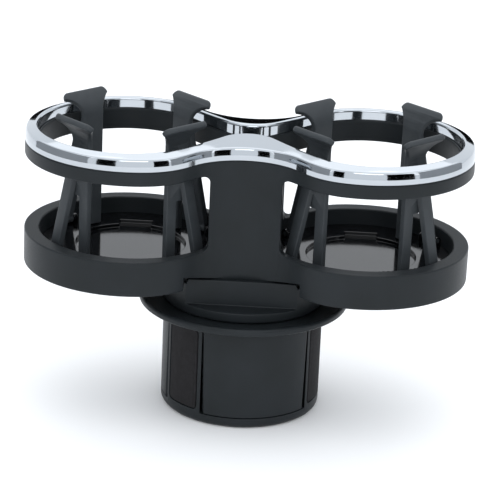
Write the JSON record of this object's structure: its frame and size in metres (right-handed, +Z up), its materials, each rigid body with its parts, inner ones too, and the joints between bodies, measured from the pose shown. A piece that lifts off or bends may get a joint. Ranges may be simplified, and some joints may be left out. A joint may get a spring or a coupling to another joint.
{
  "type": "twin car cup holder",
  "caption": "Twin cup holder for a car: two open wells with sprung claws on a swivel mount above an expanding plug that fits the car's own cup holder.",
  "frame": {"origin": "centre of the plug's underside", "axes": "+Z up along the plug and swivel axis, +X from the left well to the right well, the front faces -Y"},
  "size_m": [0.202, 0.097, 0.1385],
  "materials": {
    "satin_plastic": "black ABS, fine spark-eroded satin texture",
    "claw_plastic": "tough dark grey moulded plastic, dull",
    "inner_plastic": "black moulded plastic",
    "gloss_plastic": "black polished plastic",
    "trim_chrome": "bright chrome plating on plastic",
    "pad_rubber": "dull black rubber",
    "zinc_steel": "zinc plated steel"
  },
  "bodies": {
    "base": {"base_cup": "satin_plastic", "base_lid": "satin_plastic", "lid_screws": "zinc_steel", "grip_pad_left": "pad_rubber", "grip_pad_right": "pad_rubber", "grip_pad_back": "pad_rubber", "guide_plate": "inner_plastic", "pivot_bolt": "zinc_steel", "pivot_washer": "zinc_steel", "pivot_nut": "zinc_steel"},
    "expander": {"grip_wheel": "satin_plastic", "cam_plate": "inner_plastic", "cam_screws": "zinc_steel"},
    "shoe_front": {"shoe_front": "satin_plastic"},
    "shoe_right": {"shoe_right": "satin_plastic"},
    "shoe_left": {"shoe_left": "satin_plastic"},
    "holder": {"swivel_mount": "satin_plastic", "mount_screws": "zinc_steel", "body_shell": "satin_plastic", "bottom_cover": "satin_plastic", "cover_screws": "zinc_steel", "chrome_trim": "trim_chrome", "floor_plate_left": "gloss_plastic", "floor_plate_right": "gloss_plastic"},
    "claw_left_front_outer": {"claw_left_front_outer": "claw_plastic"},
    "claw_left_front_inner": {"claw_left_front_inner": "claw_plastic"},
    "claw_left_back_outer": {"claw_left_back_outer": "claw_plastic"},
    "claw_left_back_inner": {"claw_left_back_inner": "claw_plastic"},
    "claw_right_front_outer": {"claw_right_front_outer": "claw_plastic"},
    "claw_right_front_inner": {"claw_right_front_inner": "claw_plastic"},
    "claw_right_back_outer": {"claw_right_back_outer": "claw_plastic"},
    "claw_right_back_inner": {"claw_right_back_inner": "claw_plastic"}
  },
  "joints": [
    {"name": "expander_turn", "type": "hinge", "parent": "base", "child": "expander", "pos_m": [0, 0, 0.05], "axis": [0, 0, 1], "range_deg": [0, 60]},
    {"name": "shoe_front_slide", "type": "slide", "parent": "base", "child": "shoe_front", "axis": [0.2588, -0.9659, 0], "range_m": [0, 0.008]},
    {"name": "shoe_right_slide", "type": "slide", "parent": "base", "child": "shoe_right", "axis": [0.7071, 0.7071, 0], "range_m": [0, 0.008]},
    {"name": "shoe_left_slide", "type": "slide", "parent": "base", "child": "shoe_left", "axis": [-0.9659, 0.2588, 0], "range_m": [0, 0.008]},
    {"name": "holder_swivel", "type": "hinge", "parent": "base", "child": "holder", "pos_m": [0, 0, 0.055], "axis": [0, 0, 1], "continuous": true},
    {"name": "claw_left_front_outer_flex", "type": "hinge", "parent": "holder", "child": "claw_left_front_outer", "pos_m": [-0.08418, -0.01994, 0.0763], "axis": [0.7071, -0.7071, 0], "range_deg": [0, 5.5], "stiffness_Nm_per_rad": 1.2, "springref_deg": -2.86},
    {"name": "claw_left_front_inner_flex", "type": "hinge", "parent": "holder", "child": "claw_left_front_inner", "pos_m": [-0.02082, -0.01994, 0.0763], "axis": [0.7071, 0.7071, 0], "range_deg": [0, 5.5], "stiffness_Nm_per_rad": 1.2, "springref_deg": -2.86},
    {"name": "claw_left_back_outer_flex", "type": "hinge", "parent": "holder", "child": "claw_left_back_outer", "pos_m": [-0.08418, 0.01994, 0.0763], "axis": [-0.7071, -0.7071, 0], "range_deg": [0, 5.5], "stiffness_Nm_per_rad": 1.2, "springref_deg": -2.86},
    {"name": "claw_left_back_inner_flex", "type": "hinge", "parent": "holder", "child": "claw_left_back_inner", "pos_m": [-0.02082, 0.01994, 0.0763], "axis": [-0.7071, 0.7071, 0], "range_deg": [0, 5.5], "stiffness_Nm_per_rad": 1.2, "springref_deg": -2.86},
    {"name": "claw_right_front_outer_flex", "type": "hinge", "parent": "holder", "child": "claw_right_front_outer", "pos_m": [0.08418, -0.01994, 0.0763], "axis": [0.7071, 0.7071, 0], "range_deg": [0, 5.5], "stiffness_Nm_per_rad": 1.2, "springref_deg": -2.86},
    {"name": "claw_right_front_inner_flex", "type": "hinge", "parent": "holder", "child": "claw_right_front_inner", "pos_m": [0.02082, -0.01994, 0.0763], "axis": [0.7071, -0.7071, 0], "range_deg": [0, 5.5], "stiffness_Nm_per_rad": 1.2, "springref_deg": -2.86},
    {"name": "claw_right_back_outer_flex", "type": "hinge", "parent": "holder", "child": "claw_right_back_outer", "pos_m": [0.08418, 0.01994, 0.0763], "axis": [-0.7071, 0.7071, 0], "range_deg": [0, 5.5], "stiffness_Nm_per_rad": 1.2, "springref_deg": -2.86},
    {"name": "claw_right_back_inner_flex", "type": "hinge", "parent": "holder", "child": "claw_right_back_inner", "pos_m": [0.02082, 0.01994, 0.0763], "axis": [-0.7071, -0.7071, 0], "range_deg": [0, 5.5], "stiffness_Nm_per_rad": 1.2, "springref_deg": -2.86}
  ],
  "couplings": [
    {"joint": "shoe_front_slide", "follows": "expander_turn", "m_per_rad": 0.0076394},
    {"joint": "shoe_right_slide", "follows": "expander_turn", "m_per_rad": 0.0076394},
    {"joint": "shoe_left_slide", "follows": "expander_turn", "m_per_rad": 0.0076394}
  ]
}
